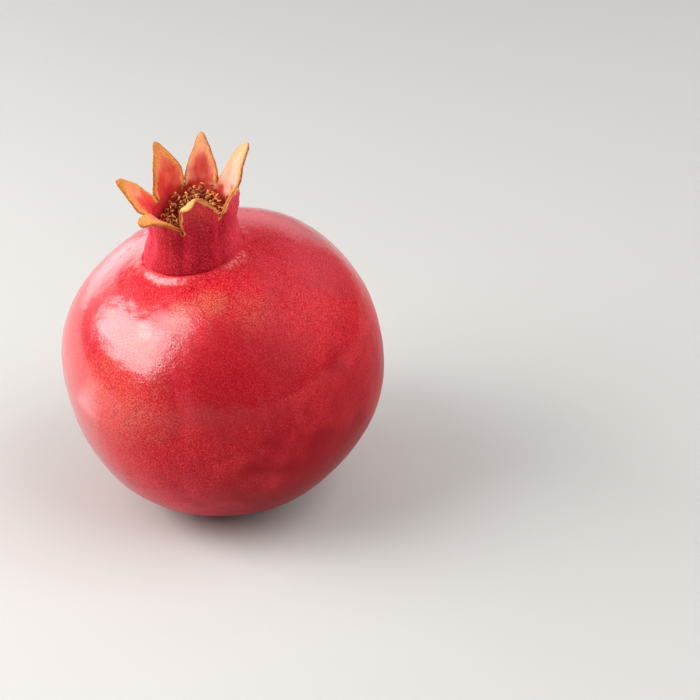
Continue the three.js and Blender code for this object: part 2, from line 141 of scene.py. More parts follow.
def polar(radius, azimuth, height):
    """The point at a radius, azimuth (in radians) and height."""
    return np.stack(
        np.broadcast_arrays(radius * np.sin(azimuth), -radius * np.cos(azimuth), height), -1
    )


def round_turn(count):
    """So many angles spaced evenly over a full turn."""
    return 2 * math.pi * np.arange(count) / count


def unit(vectors):
    return vectors / np.linalg.norm(vectors, axis=-1, keepdims=True)


def ripple(points, size, seed=0.0):
    """Smooth noise from about -1 to 1 at the points, with lumps about size across."""
    flat = (np.asarray(points, float) / size + seed).reshape(-1, 3)
    return np.array([noise.noise(Vector(point)) for point in flat]).reshape(points.shape[:-1])


def layered(points, layers):
    """The sum of layers of smooth noise, each given as its height, size and seed."""
    return sum(height * ripple(points, size, seed) for height, size, seed in layers)


def slant(height):
    """How far towards +X the crown's tube and what it holds are shifted at a height."""
    return TUBE_SLANT * np.clip((height - SLANT_START) / (RIM_HEIGHT - SLANT_START), 0, 1)


def resting_point():
    """The lowest point of the leaning skin, in the fruit's frame."""
    steepness = math.tan(math.radians(LEAN)) * EQUATOR_RADIUS / STEM_END_HEIGHT
    ratio = steepness ** (1 / (FULLNESS - 1))
    share = (1 + ratio ** FULLNESS) ** (-1 / FULLNESS)
    radius = EQUATOR_RADIUS * ratio * share
    return Vector(polar(radius, math.radians(LEAN_AZIMUTH), -STEM_END_HEIGHT * share))


def fruit_frame():
    """The matrix from the fruit's frame in millimetres to the model's frame in metres."""
    axis = Vector(
        polar(math.sin(math.radians(LEAN)), math.radians(LEAN_AZIMUTH), math.cos(math.radians(LEAN)))
    )
    leaning = Vector((0, 0, 1)).rotation_difference(axis).to_matrix()
    shift = -(leaning @ resting_point()) - Vector((0, 0, REST_CUT))
    return Matrix.Scale(0.001, 4) @ Matrix.Translation(shift) @ leaning.to_4x4()


FRUIT_FRAME = np.array(fruit_frame())


def place(points):
    """Points of the fruit's frame in the model's frame, none below the floor."""
    placed = points @ FRUIT_FRAME[:3, :3].T + FRUIT_FRAME[:3, 3]
    placed[..., 2] = np.maximum(placed[..., 2], 0)
    return placed


# ---------------- meshes from grids of points


class Surface:
    """Collects points with their attributes, and the faces between them."""

    def __init__(self):
        self.points = []
        self.attributes = {}
        self.faces = []
        self.count = 0

    def add(self, points, **attributes):
        """Adds a grid of points and returns the grid of their numbers. An attribute that some
        points aren't given is 0 there."""
        size = int(np.prod(points.shape[:-1]))
        self.points.append(points.reshape(-1, 3))
        for name, values in attributes.items():
            flat = np.asarray(values, float)
            if flat.shape == points.shape:
                flat = flat.reshape(-1, 3)
            else:
                flat = np.broadcast_to(flat, points.shape[:-1]).reshape(-1)
            self.attributes.setdefault(name, []).append((self.count, flat))
        numbers = np.arange(self.count, self.count + size).reshape(points.shape[:-1])
        self.count += size
        return numbers

    def skin(self, grid, closed=True):
        """Faces between a grid's rows. Where it is closed, its last column meets its first."""
        following = np.roll(grid, -1, axis=1)
        here, there = grid[:-1], grid[1:]
        beside, beyond = following[:-1], following[1:]
        quads = np.stack([here, beside, beyond, there], -1)
        if not closed:
            quads = quads[:, :-1]
        self.faces += quads.reshape(-1, 4).tolist()

    def cap(self, middle, ring, outwards=True, **attributes):
        """Closes a ring of points with triangles to a point in its middle."""
        centre = int(self.add(np.reshape(middle, (1, 1, 3)), **attributes)[0, 0])
        for here, there in zip(ring, np.roll(ring, -1)):
            corners = [centre, int(there), int(here)]
            self.faces.append(corners if outwards else corners[::-1])

    def piece(self, name, material, slot, *nodes):
        """Turns what was collected into a smooth object that replaces CAD nodes. Its attribute
        grown holds the points' places in the fruit's own frame."""
        grown = np.concatenate(self.points)
        mesh = bpy.data.meshes.new(name)
        mesh.from_pydata(place(grown).tolist(), [], self.faces)
        self.attributes["grown"] = [(0, grown)]
        for attribute, parts in self.attributes.items():
            vector = parts[0][1].ndim == 2
            values = np.zeros((self.count, 3) if vector else self.count, np.float32)
            for start, flat in parts:
                values[start:start + len(flat)] = flat
            layer = mesh.attributes.new(attribute, "FLOAT_VECTOR" if vector else "FLOAT", "POINT")
            layer.data.foreach_set("vector" if vector else "value", values.ravel())
        mesh.polygons.foreach_set("use_smooth", [True] * len(mesh.polygons))
        mesh.materials.append(material)
        mesh.update()
        thing = bpy.data.objects.new(name, mesh)
        bpy.context.scene.collection.objects.link(thing)
        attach(thing, "root")
        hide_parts(*nodes)
        return thing


# ---------------- the fruit's surface

SEPAL_COLUMNS = 38  # points across a sepal, and as many round the fruit for each sepal
SEPAL_ROWS = 44
SKIN_ROWS = 165
CROWDING = 1.45  # how much closer the skin's rows lie near the crown
TUBE_ROWS = 34
TUBE_CROWDING = 1.35  # how much closer the tube's rows lie near its foot
WELL_ROWS = 24
EDGE_POINTS = 3  # points across the thickness of a sepal's edge

FIRST_SEPAL = math.radians(FIRST_SEPAL_AZIMUTH)
COLUMN_ACROSS = np.tile(np.linspace(-1, 1, SEPAL_COLUMNS), len(SEPALS))
COLUMN_EVEN = np.tile((2 * np.arange(SEPAL_COLUMNS) + 1) / SEPAL_COLUMNS - 1, len(SEPALS))
COLUMN_SEPAL = np.repeat(np.arange(len(SEPALS)), SEPAL_COLUMNS)
COLUMN_MIDDLE = FIRST_SEPAL + 2 * SEPAL_HALF_ANGLE * COLUMN_SEPAL

# The pattern of fibres is drawn on a drum: round it by azimuth, and along it by the way over the
# surface, which for the crown starts at DRUM_TUBE_START.
DRUM_RADIUS = 30
DRUM_TUBE_START = 60
INNER_STRETCH = 1.7  # how much closer the pattern lies on the inside of the crown
NO_MARGIN = 9.0  # what the margin attribute says far from any free edge

# How strong the wax's gloss is, what is left of it low down on one side, and between which
# heights it comes back.
POLISH = 1.0
DULL_POLISH = 0.08
DULL_AZIMUTH = 45
DULL_HEIGHTS = (6, 26)

# Layers of relief, each as height, size of its lumps and seed.
LUMPS = ((0.34, 19.0, 0.0), (0.07, 7.5, 3.0), (0.05, 2.6, 0.0))
WRINKLES = ((1.0, 2.4, 0.0), (0.6, 1.5, 5.0))
WRINKLE_HEIGHT_AT_CROWN = 0.13
WRINKLE_HEIGHT_AT_STALK = 0.3
PATCH_WOBBLE = ((0.35, 9.0, 11.0), (0.2, 3.5, 7.0))

# Soft patches of colour on the skin, each as the azimuth and height of its middle, its radius
# and its strength.
PATCHES = {
    # golden freckles; the two at azimuths 13 and 33 high on the front are a painted reflection of a
    # lamp
    "gold": (
        (-7, 35.4, 5, 1.1), (-34, 29, 9, 0.6), (-36, 17, 17, 0.7), (33, 33, 8, 0.4),
        (13, 36, 6, 1), (150, 4, 13, 0.6), (205, -16, 15, 0.6), (-110, -8, 14, 0.6),
        (98, 10, 9, 0.4),
    ),
    # deep red: on the front these patches are painted shade, beside the highlight and on the lower
    # right
    "deep": (
        (16, 22, 28, 0.9), (-10, 29, 10, 0.5), (54, -14, 42, 1), (38, -24, 42, 1.4),
        (178, -20, 34, 1),
    ),
    "dusk": ((78, 30, 13, 1), (60, 35, 7, 1), (215, 14, 15, 1)),
    # painted pink sheen and reflected light: on the shoulders, and low on the left and front
    "rose": (
        (150, 34, 26, 1), (100, 30, 20, 0.5), (-150, 36, 20, 1), (-110, 34, 14, 1),
        (-70, -30, 20, 1), (-18, -24, 20, 0.9),
    ),
    # pale wrinkles round the crown's foot, partly a painted highlight on the collar's lip
    "pale": ((-38, 38.4, 7, 0.6), (60, 38.2, 5, 0.6), (-8, 39.2, 6, 0.4), (150, 38.5, 6, 0.8)),
}

# Small dents of the skin, each as azimuth, height, radius and depth.
DENTS = (
    (147, 34.2, 1.3, 0.32), (137, 31, 0.8, 0.22), (131, 32, 0.9, 0.22), (118, 25.4, 0.7, 0.18),
    (126, 30, 0.7, 0.16), (-114, 36.3, 0.8, 0.2), (-105, 35.7, 0.7, 0.16), (-108, 33, 0.7, 0.2),
    (-135, 35.7, 0.8, 0.2), (-160, 12, 1, 0.2), (95, -12, 0.9, 0.2), (172, -25, 1.2, 0.25),
)


def column_azimuths(gathered):
    """The azimuths of the columns: even over the skin, and gathered into sepals at the rim."""
    spread = mix(COLUMN_EVEN, COLUMN_ACROSS * (1 - NOTCH_OPENING), gathered)
    return COLUMN_MIDDLE + SEPAL_HALF_ANGLE * spread


def skin_end(height):
    """The height of the smooth skin's end, above or below, on the side of a height."""
    return np.where(height < 0, STEM_END_HEIGHT, CROWN_END_HEIGHT)


def skin_outline(angle):
    """A point of the smooth skin's outline, by its angle above the equator."""
    radius = EQUATOR_RADIUS * np.cos(angle) ** (2 / FULLNESS)
    height = skin_end(angle) * np.sign(angle) * np.abs(np.sin(angle)) ** (2 / FULLNESS)
    return radius, height


def outline_angle(radius):
    return np.arccos((radius / EQUATOR_RADIUS) ** (FULLNESS / 2))


def skin_point(azimuth, height):
    """The point of the smooth skin at an azimuth (in degrees) and height."""
    share = (abs(height) / skin_end(height)) ** FULLNESS
    return polar(EQUATOR_RADIUS * (1 - share) ** (1 / FULLNESS), math.radians(azimuth), height)


def skin_normals(radius, azimuth, height):
    end = skin_end(height)
    return unit(polar(
        (radius / EQUATOR_RADIUS) ** (FULLNESS - 1) / EQUATOR_RADIUS,
        azimuth,
        np.sign(height) * (np.abs(height) / end) ** (FULLNESS - 1) / end,
    ))


def patches(points, middles):
    """How much each point lies in the patches: 0 outside them all."""
    share = np.zeros(points.shape[:-1])
    wobble = layered(points, PATCH_WOBBLE)
    for azimuth, height, radius, strength in middles:
        distance = np.linalg.norm(points - skin_point(azimuth, height), axis=-1) / radius
        share = np.maximum(share, strength * (1 - ease(distance + wobble, 0.25, 1.15)))
    return share


def dents(points):
    """How far the dents sink at each point, and how near it is to the middle of one."""
    total, scar = np.zeros(points.shape[:-1]), np.zeros(points.shape[:-1])
    for azimuth, height, radius, depth in DENTS:
        offset = (points - skin_point(azimuth, height)) * (1, 1, 1.5)
        near = np.exp(-(np.linalg.norm(offset, axis=-1) / radius) ** 2)
        total += depth * near
        scar = np.maximum(scar, near)
    return total, scar


def frontness(azimuth):
    """1 at the front of the fruit, falling to 0 at its sides."""
    return np.maximum(np.cos(azimuth), 0) ** 1.5


def skin_grid():
    """The skin from the stalk's hollow up to the crown's foot, with its attributes."""
    share = 1 - (1 - np.linspace(0, 1, SKIN_ROWS + 1)) ** CROWDING
    azimuth = column_azimuths(0.0)[None, :]
    front = frontness(azimuth)
    foot_radius = COLLAR_RADIUS - FRONT_INSET * front
    angle = mix(-outline_angle(STALK_RADIUS + GAP), outline_angle(foot_radius), share[:, None])
    radius, height = skin_outline(angle)
    fullness = (radius / EQUATOR_RADIUS) ** 2
    ridge = RIDGE_HEIGHT * fullness * np.cos(RIDGE_COUNT * (azimuth - math.radians(RIDGE_AZIMUTH)))
    hollow = np.where(height < 0, HOLLOW_DEPTH * np.exp(-((radius / HOLLOW_RADIUS) ** 2)), 0)
    collar = np.exp(-((radius - foot_radius) / COLLAR_REACH) ** 2)
    collar = np.where(height > 0, (COLLAR_RISE + FRONT_RISE * front) * collar, 0)
    points = polar(radius + ridge, azimuth, height + hollow + collar)

    arc = np.cumsum(np.hypot(np.diff(radius, axis=0, prepend=radius[:1]),
                             np.diff(height, axis=0, prepend=height[:1])), axis=0)
    fibre = polar(DRUM_RADIUS, azimuth, arc)
    wander = 1.5 * ripple(fibre * (1, 1, 0), 4.0, 4.0)
    near_crown = np.where(height > 0, ease(-radius + wander, -18.5, -COLLAR_RADIUS), 0)
    near_stalk = np.where(height < 0, ease(-radius, -13, -4), 0)
    wrinkled = WRINKLE_HEIGHT_AT_CROWN * near_crown + WRINKLE_HEIGHT_AT_STALK * near_stalk
    relief = layered(points, LUMPS) + wrinkled * layered(fibre * (1, 1, 0.6), WRINKLES)
    dent, scar = dents(points)
    relief = (relief - dent) * ease(radius, STALK_RADIUS, STALK_RADIUS + 3)
    points = points + skin_normals(radius, azimuth, height) * relief[..., None]

    low = 1 - ease(points[..., 2], *DULL_HEIGHTS)
    dulled = low * ease(np.cos(azimuth - math.radians(DULL_AZIMUTH)), -0.2, 0.5)
    return dict(
        points=points, fibre=fibre, margin=NO_MARGIN, foot=near_crown, scar=scar,
        polish=mix(POLISH, DULL_POLISH, dulled) * (1 - 0.4 * near_crown),
        **{name: patches(points, middles) for name, middles in PATCHES.items()},
    )


def notch_lift(sepal, across):
    """How much the rim is raised at a place across a sepal's root."""
    lifts = np.array(NOTCH_LIFTS)
    return mix(lifts[sepal - 1], lifts[sepal], (across + 1) / 2)


def rim_lift(height):
    """How much each column is raised at a height of the tube."""
    return notch_lift(COLUMN_SEPAL, COLUMN_ACROSS) * ease(height, WAIST_HEIGHT, RIM_HEIGHT)


def tube_radius(height, above_foot, front):
    """The radius of the tube's outside at a height."""
    crease = np.exp(-above_foot / CREASE_REACH) * UNDERCUT
    swelling = BULGE_RADIUS - WAIST_RADIUS - FRONT_INSET * front
    bulge = (1 - ease(height, BULGE_HEIGHT, WAIST_HEIGHT)) * swelling
    rim = ease(height, WAIST_HEIGHT, RIM_HEIGHT) * (RIM_RADIUS - WAIST_RADIUS)
    return WAIST_RADIUS - crease + bulge + rim


def crown_side_sheen(azimuth):
    """The painted pink sheen on the crown's outside at an azimuth: strongest at its left and right.
    """
    return 0.9 * ease(np.abs(np.sin(azimuth)), 0.6, 1)


def flute_depth(azimuth):
    """The depth of the grooves that run down from the notches, at an azimuth."""
    from_sepal = (azimuth - FIRST_SEPAL) / (2 * SEPAL_HALF_ANGLE) - 0.5
    from_notch = (from_sepal - np.round(from_sepal)) * 2 * SEPAL_HALF_ANGLE
    return FLUTE_DEPTH * np.exp(-((from_notch / math.radians(FLUTE_WIDTH)) ** 2))


def grain(fibre):
    """The height of the lengthwise ridges that run up the crown."""
    return ripple(fibre * (1, 1, 0.11), 2.6, 2.0) + 0.5 * ripple(fibre * (1, 1, 0.14), 1.3, 8.0)


def rim_margin(height):
    """Distance of a point of the tube from the nearest notch, up to NO_MARGIN."""
    from_notch = (1 - np.abs(COLUMN_ACROSS)) * SEPAL_HALF_ANGLE * RIM_RADIUS
    return np.minimum(np.hypot(from_notch, np.maximum(RIM_HEIGHT - height, 0)), NO_MARGIN)


def tube_grid():
    """The outside of the crown's tube, from above its foot to below its rim."""
    climb = np.linspace(0, 1, TUBE_ROWS + 1)[:-1, None] ** TUBE_CROWDING
    front = frontness(column_azimuths(0.0))
    foot = CREASE_HEIGHT + (FRONT_RISE + FRONT_INSET * SHOULDER_SLOPE) * front
    height = mix(foot, RIM_HEIGHT, climb)
    azimuth = column_azimuths(ease(height, BULGE_HEIGHT, RIM_HEIGHT))
    flute = flute_depth(azimuth) * ease(climb, 0.02, 0.7)
    fibre = polar(DRUM_RADIUS, azimuth, DRUM_TUBE_START + height)
    relief = 0.1 * grain(fibre) * ease(climb, 0, 0.15) + 0.15 * ripple(fibre, 9.0)
    relief += 0.2 * ripple(fibre * (1, 1, 0.5), 6.0, 3.0) * (1 - ease(climb, 0.1, 0.5))
    points = polar(tube_radius(height, height - foot, front) - flute + relief, azimuth, height)
    points[..., 0] += slant(height)
    points[..., 2] += rim_lift(height)
    return dict(
        points=points, fibre=fibre, margin=rim_margin(height),
        crown=ease(climb, 0, 0.06), tan=WALL_TAN, rose=crown_side_sheen(azimuth),
    )


def wall_pallor():
    """How pale the inside of the tube is under each column, blended from sepal to sepal."""
    each = np.array([form["pallor"] for form in SEPALS])[COLUMN_SEPAL]
    reach = SEPAL_COLUMNS // 3
    return np.mean([np.roll(each, step) for step in range(-reach, reach + 1)], axis=0)[None, :]


def well_grid():
    """The inside of the tube: down the wall, round the groove and up the floor's raised middle."""
    wall = WAIST_RADIUS + 0.15 - RIM_WALL
    outline = np.array([
        (RIM_RADIUS - RIM_WALL, RIM_HEIGHT),
        (wall + 0.2, mix(WELL_FLOOR, RIM_HEIGHT, 0.6)),
        (wall, mix(WELL_FLOOR, RIM_HEIGHT, 0.2)),
        (WELL_RADIUS, WELL_FLOOR),
        (DOME_RADIUS, WELL_FLOOR),
        (DOME_RADIUS / 2, WELL_FLOOR + 0.7 * DOME_RISE),
        (0.4, WELL_FLOOR + DOME_RISE),
    ])
    steps = np.cumsum(np.hypot(*np.diff(outline, axis=0, prepend=outline[:1]).T))
    walk = np.linspace(0, steps[-1], WELL_ROWS + 1)[1:, None]
    radius = np.interp(walk, steps, outline[:, 0])
    height = np.interp(walk, steps, outline[:, 1])
    azimuth = column_azimuths(ease(height, WELL_FLOOR, RIM_HEIGHT))
    fibre = polar(DRUM_RADIUS, azimuth, INNER_STRETCH * (DRUM_TUBE_START + RIM_HEIGHT - walk))
    relief = 0.1 * grain(fibre) * ease(radius, 2, 8)
    points = polar(radius + relief, azimuth, height)
    points[..., 0] += slant(height)
    points[..., 2] += rim_lift(height)
    return dict(
        points=points, fibre=fibre, inner=1, margin=rim_margin(height),
        along=-ease(RIM_HEIGHT - height, 0, 9), crown=1, pallor=wall_pallor(), tan=WALL_TAN,
    )


# ---------------- the sepals

# Places on a sepal: across it from -1 to 1, and along it from 0 at its root to 1 at its tip.
ACROSS = np.linspace(-1, 1, SEPAL_COLUMNS)[None, :]
ALONG = np.linspace(0, 1, SEPAL_ROWS + 1)[:, None] ** 0.95
ROOT_HALF_WIDTH = SEPAL_HALF_ANGLE * RIM_RADIUS
ROOT_HALF_ANGLE = SEPAL_HALF_ANGLE * (1 - NOTCH_OPENING)
BLUNT = np.sqrt(1 - ease(ALONG, 0.9, 1.0) ** 2)  # 1 up to near the tip, and 0 at the very tip
TILT_STEPS = 24
WAVE_HEIGHT = 0.32  # of the hems' waves
WAVE_SHARE = 0.05  # how much of a sepal's width its edges' waves and nicks take or give
NICK_SHARE = 0.035
FIBRE_HEIGHT = 0.13


def sepal_width(form):
    """Half the width of a sepal as a share of its root's, without its blunt tip."""
    return (1 + form["belly"] * ALONG) * (1 - ALONG ** form["taper"])


def sepal_reach(form):
    """A sepal's tilt, and the radius and height of its middle line."""
    def tilt(share):
        return np.radians(form["flare"] * ease(share, 0, 0.3) + form["curl"] * share ** form["bend"])

    halfway = tilt(ALONG * (np.arange(TILT_STEPS) + 0.5) / TILT_STEPS)
    length = form["length"] * ALONG
    out = length * np.sin(halfway).mean(1, keepdims=True)
    up = length * np.cos(halfway).mean(1, keepdims=True)
    return tilt(ALONG), RIM_RADIUS + out, RIM_HEIGHT + up


def ragged_edge(form, number):
    """The slow waves of a sepal's two edges, and half its width with its ragged, blunt tip."""
    walk = np.stack(np.broadcast_arrays(
        form["length"] * ALONG, 5.0 * np.sign(ACROSS), 17.0 * number), -1)
    waves, nicks = ripple(walk, 3.3), ripple(walk, 1.15, 4.0)
    ragged = 1 + ease(ALONG, 0.05, 0.3) * (WAVE_SHARE * waves + NICK_SHARE * nicks)
    return waves, (ROOT_HALF_WIDTH * sepal_width(form) + form["tip"] * ALONG * BLUNT) * ragged


def sepal_as_tube(form, azimuth):
    """A sepal's points and normals as a piece of the tube carried on upwards."""
    tilt, radius, height = sepal_reach(form)
    azimuth = azimuth + ACROSS * sepal_width(form) * ROOT_HALF_ANGLE
    points = polar(radius - flute_depth(azimuth), azimuth, height)
    return points, polar(np.cos(tilt), azimuth, -np.sin(tilt))


def sepal_as_leaf(form, azimuth, waves, half_width):
    """A sepal's points and normals as a leaf of its own, cupped, turned, twisted and hemmed."""
    tilt, radius, height = sepal_reach(form)
    azimuth = azimuth + math.radians(form["turn"])
    outward = polar(np.cos(tilt), azimuth, -np.sin(tilt))
    sideways = polar(1.0, azimuth + math.pi / 2, 0.0)
    twist = np.radians(form["twist"]) * ALONG[..., None]
    normal = outward * np.cos(twist) + sideways * np.sin(twist)
    aside = sideways * np.cos(twist) - outward * np.sin(twist)
    roll_radius = mix(RIM_RADIUS, RIM_RADIUS / form["cup"], ease(ALONG, 0, 0.4))
    roll = ACROSS * half_width / roll_radius
    in_hem = np.maximum(0, np.abs(ACROSS) - HEM_START) / (1 - HEM_START)
    hem = form["hem"] * half_width / ROOT_HALF_WIDTH + WAVE_HEIGHT * waves * ease(ALONG, 0.1, 0.4)
    hem_slope = 2 * form["hem"] * in_hem / (1 - HEM_START) / ROOT_HALF_WIDTH
    raised = (np.cos(roll) - 1) * roll_radius + hem * in_hem ** 2
    points = (
        polar(radius, azimuth, height)
        + sideways * form["side"] * ALONG[..., None] ** 1.3
        + normal * raised[..., None]
        + aside * (np.sin(roll) * roll_radius)[..., None]
    )
    turn = (roll - np.sign(ACROSS) * np.arctan(hem_slope))[..., None]
    return points, normal * np.cos(turn) + aside * np.sin(turn)


def sepal_thickness():
    thin = mix(EDGE_THICKNESS, SEPAL_THICKNESS, (1 - ALONG) * np.sqrt(1 - ACROSS ** 2))
    return mix(RIM_WALL, thin, ease(ALONG, 0, 0.25)) * mix(0.6, 1, BLUNT)


def sepal_sheets(number):
    """A sepal's outer and inner faces as grids of points, with their attributes. It starts as a
    piece of the tube and soon becomes a leaf of its own."""
    form = SEPALS[number]
    azimuth = FIRST_SEPAL + 2 * SEPAL_HALF_ANGLE * number
    waves, half_width = ragged_edge(form, number)
    tube_points, tube_normals = sepal_as_tube(form, azimuth)
    leaf_points, leaf_normals = sepal_as_leaf(form, azimuth, waves, half_width)
    free = ease(ALONG, 0, 0.35)[..., None]
    outer = mix(tube_points, leaf_points, free)
    normals = unit(mix(tube_normals, leaf_normals, free))
    outer[..., 2] += notch_lift(number, ACROSS) * (1 - ease(ALONG, 0, 0.5))
    outer[..., 0] += TUBE_SLANT
    inner = outer - normals * sepal_thickness()[..., None]

    fibre_angle = ACROSS * ROOT_HALF_ANGLE * (sepal_width(form) + 0.1 * ALONG)
    fibre = polar(
        DRUM_RADIUS, azimuth + fibre_angle, DRUM_TUBE_START + RIM_HEIGHT + form["length"] * ALONG
    )
    grown_free = ease(ALONG, 0, 0.2)
    swell = grown_free * (0.3 * ripple(fibre, 6.5, 9.0) + FIBRE_HEIGHT * grain(fibre))
    veins = 0.08 * ripple(fibre * (1, 1, 0.15), 1.1, 6.0)
    outer = outer + normals * (swell + (1 - grown_free) * FIBRE_HEIGHT * grain(fibre))[..., None]
    inner = inner + normals * (swell + veins)[..., None]

    shared = dict(
        margin=np.minimum((1 - np.abs(ACROSS)) * half_width, (1 - ALONG) * form["length"] * 0.5),
        crown=1, pallor=form["pallor"], tan=form["tan"], along=ALONG,
        rose=crown_side_sheen(azimuth + ACROSS * SEPAL_HALF_ANGLE),
        stain=form["stain"] * np.exp(-(ACROSS / 0.8) ** 4 - ((ALONG - STAIN_PLACE) / 0.3) ** 4),
    )
    everywhere = np.ones_like(half_width)
    shared = {name: values * everywhere for name, values in shared.items()}
    return (
        dict(points=outer, fibre=fibre, inner=0 * everywhere, **shared),
        dict(points=inner, fibre=fibre * (1, 1, INNER_STRETCH), inner=everywhere, **shared),
    )


def edge_strip(outer, inner, at, beside):
    """The points across the thickness of a sepal's edge, which is its column at."""
    start, end = outer["points"][:, at], inner["points"][:, at]
    sideways = unit(start - outer["points"][:, beside])
    shares = (np.arange(EDGE_POINTS) + 1) / (EDGE_POINTS + 1)
    depth = np.linalg.norm(start - end, axis=-1)[:, None]
    swell = 0.42 * depth * np.sin(math.pi * shares) * ease(ALONG, 0, 0.12)
    points = mix(start[:, None], end[:, None], shares[:, None])
    return dict(
        points=points + sideways[:, None] * swell[..., None],
        fibre=np.repeat(outer["fibre"][:, at][:, None], EDGE_POINTS, axis=1),
        inner=shares, along=ALONG, margin=-0.6 * ease(ALONG, 0, 0.06),
        **{name: outer[name][:, :1] for name in ("crown", "pallor", "tan")},
    )


def add_sepal(surface, outer, inner, outer_rim, inner_rim):
    """Adds a sepal that stands on the rims' points, and returns its root's left and right edge."""
    def standing_on(rim, sheet):
        above = surface.add(**{name: values[1:] for name, values in sheet.items()})
        return np.vstack([rim[None], above])

    outer_grid, inner_grid = standing_on(outer_rim, outer), standing_on(inner_rim, inner)
    right = surface.add(**edge_strip(outer, inner, -1, -2))
    left = surface.add(**edge_strip(outer, inner, 0, 1))
    surface.skin(np.hstack([outer_grid, right, inner_grid[:, ::-1], left[:, ::-1]]))
    surface.skin(np.vstack([outer_grid[-1], inner_grid[-1]]), closed=False)
    roots = []
    for at, strip, turn in ((0, left, 1), (-1, right, -1)):
        tip = [outer_grid[-1, at], *strip[-1], inner_grid[-1, at]]
        surface.faces.append([int(corner) for corner in tip[::turn]])
        roots.append([outer_rim[at], *strip[0], inner_rim[at]])
    return roots


def joined_rim(sheets):
    """The first rows of all the sepals' outer or inner faces, as one ring."""
    return {
        name: np.concatenate([sheet[name][:1] for sheet in sheets], axis=1) for name in sheets[0]
    }


def make_fruit(material):
    surface = Surface()
    outers, inners = zip(*[sepal_sheets(number) for number in range(len(SEPALS))])
    skin = skin_grid()
    hole_top = (0, 0, STALK_FOOT + STALK_LENGTH + GAP)
    hole_ring = skin["points"][0] * (1, 1, 0) + hole_top
    hole = surface.add(hole_ring[None], fibre=hole_ring[None], margin=NO_MARGIN, scar=1)
    above = [surface.add(**grid) for grid in (skin, tube_grid(), joined_rim(outers))]
    outer_grid = np.vstack([hole, *above])
    surface.skin(outer_grid)
    surface.cap(hole_top, hole[0], fibre=[[hole_top]], margin=NO_MARGIN, scar=1)

    inner_grid = np.vstack([surface.add(**joined_rim(inners)), surface.add(**well_grid())])
    surface.skin(inner_grid)
    dome_top = (slant(WELL_FLOOR + DOME_RISE), 0, WELL_FLOOR + DOME_RISE)
    surface.cap(
        dome_top, inner_grid[-1], outwards=False, fibre=[[dome_top]], inner=1, along=-1,
        margin=NO_MARGIN, crown=1, pallor=0.3, tan=WALL_TAN,
    )

    rims = outer_grid[-1].reshape(len(SEPALS), -1), inner_grid[0].reshape(len(SEPALS), -1)
    roots = [add_sepal(surface, *parts) for parts in zip(outers, inners, *rims)]
    for here, there in zip(roots, roots[1:] + roots[:1]):
        surface.skin(np.array([here[1], there[0]]).T, closed=False)
    return surface.piece("fruit_skin", material, "skin", "fruit")


# ---------------- rods, stamens and stalk


def add_rod(surface, path, radii, sides, **attributes):
    """Adds a round rod along a path, closed at both ends. Attributes are given along the path."""
    tangents = unit(np.gradient(path, axis=0))
    side = unit(np.cross(tangents[0], (0.31, 0.52, 0.79)))
    turn = round_turn(sides)
    rings = []
    for centre, tangent, radius in zip(path, tangents, radii):
        side = unit(side - tangent * np.dot(side, tangent))
        cross = np.cross(tangent, side)
        ring = np.outer(np.cos(turn), side) + np.outer(np.sin(turn), cross)
        rings.append(centre + radius * ring)
    values = {
        name: np.broadcast_to(np.asarray(along, float), (len(path),))[:, None]
        for name, along in attributes.items()
    }
    grid = surface.add(np.array(rings), **values)
    surface.skin(grid)
    for end, outwards in ((0, True), (-1, False)):
        bulge = tangents[end] * (-0.5 if outwards else 0.5) * radii[end]
        ends = {name: along[end, 0] for name, along in values.items()}
        surface.cap(path[end] + bulge, grid[end], outwards, **ends)


def curve_through(start, middle, end, count):
    """Points of the smooth curve that starts and ends there and bends past the middle."""
    share = np.linspace(0, 1, count)[:, None]
    pull = 2 * middle - 0.5 * (start + end)
    return (1 - share) ** 2 * start + 2 * share * (1 - share) * pull + share ** 2 * end


# The dried stamens and the style, in a mat of their own feet. The stamens are tallest
# towards STAMEN_TOP_AZIMUTH.
MAT_FLOOR = WELL_FLOOR + GAP + 0.15
MAT_TOP = 46.6
MAT_EDGE_RISE = 2.2
STAMEN_COUNT = 380
STAMEN_TOP = 51.2
STAMEN_TOP_SWAY = 3.2
STAMEN_TOP_AZIMUTH = 160
STAMEN_FIELD = 10.3
FILAMENT_RADIUS = 0.13
FILAMENT_POINTS = 7
ANTHER_RADIUS = 0.22
ANTHER_POINTS = 8
STYLE_RADIUS = 0.75
STYLE_TOP = 53
SEED = 11


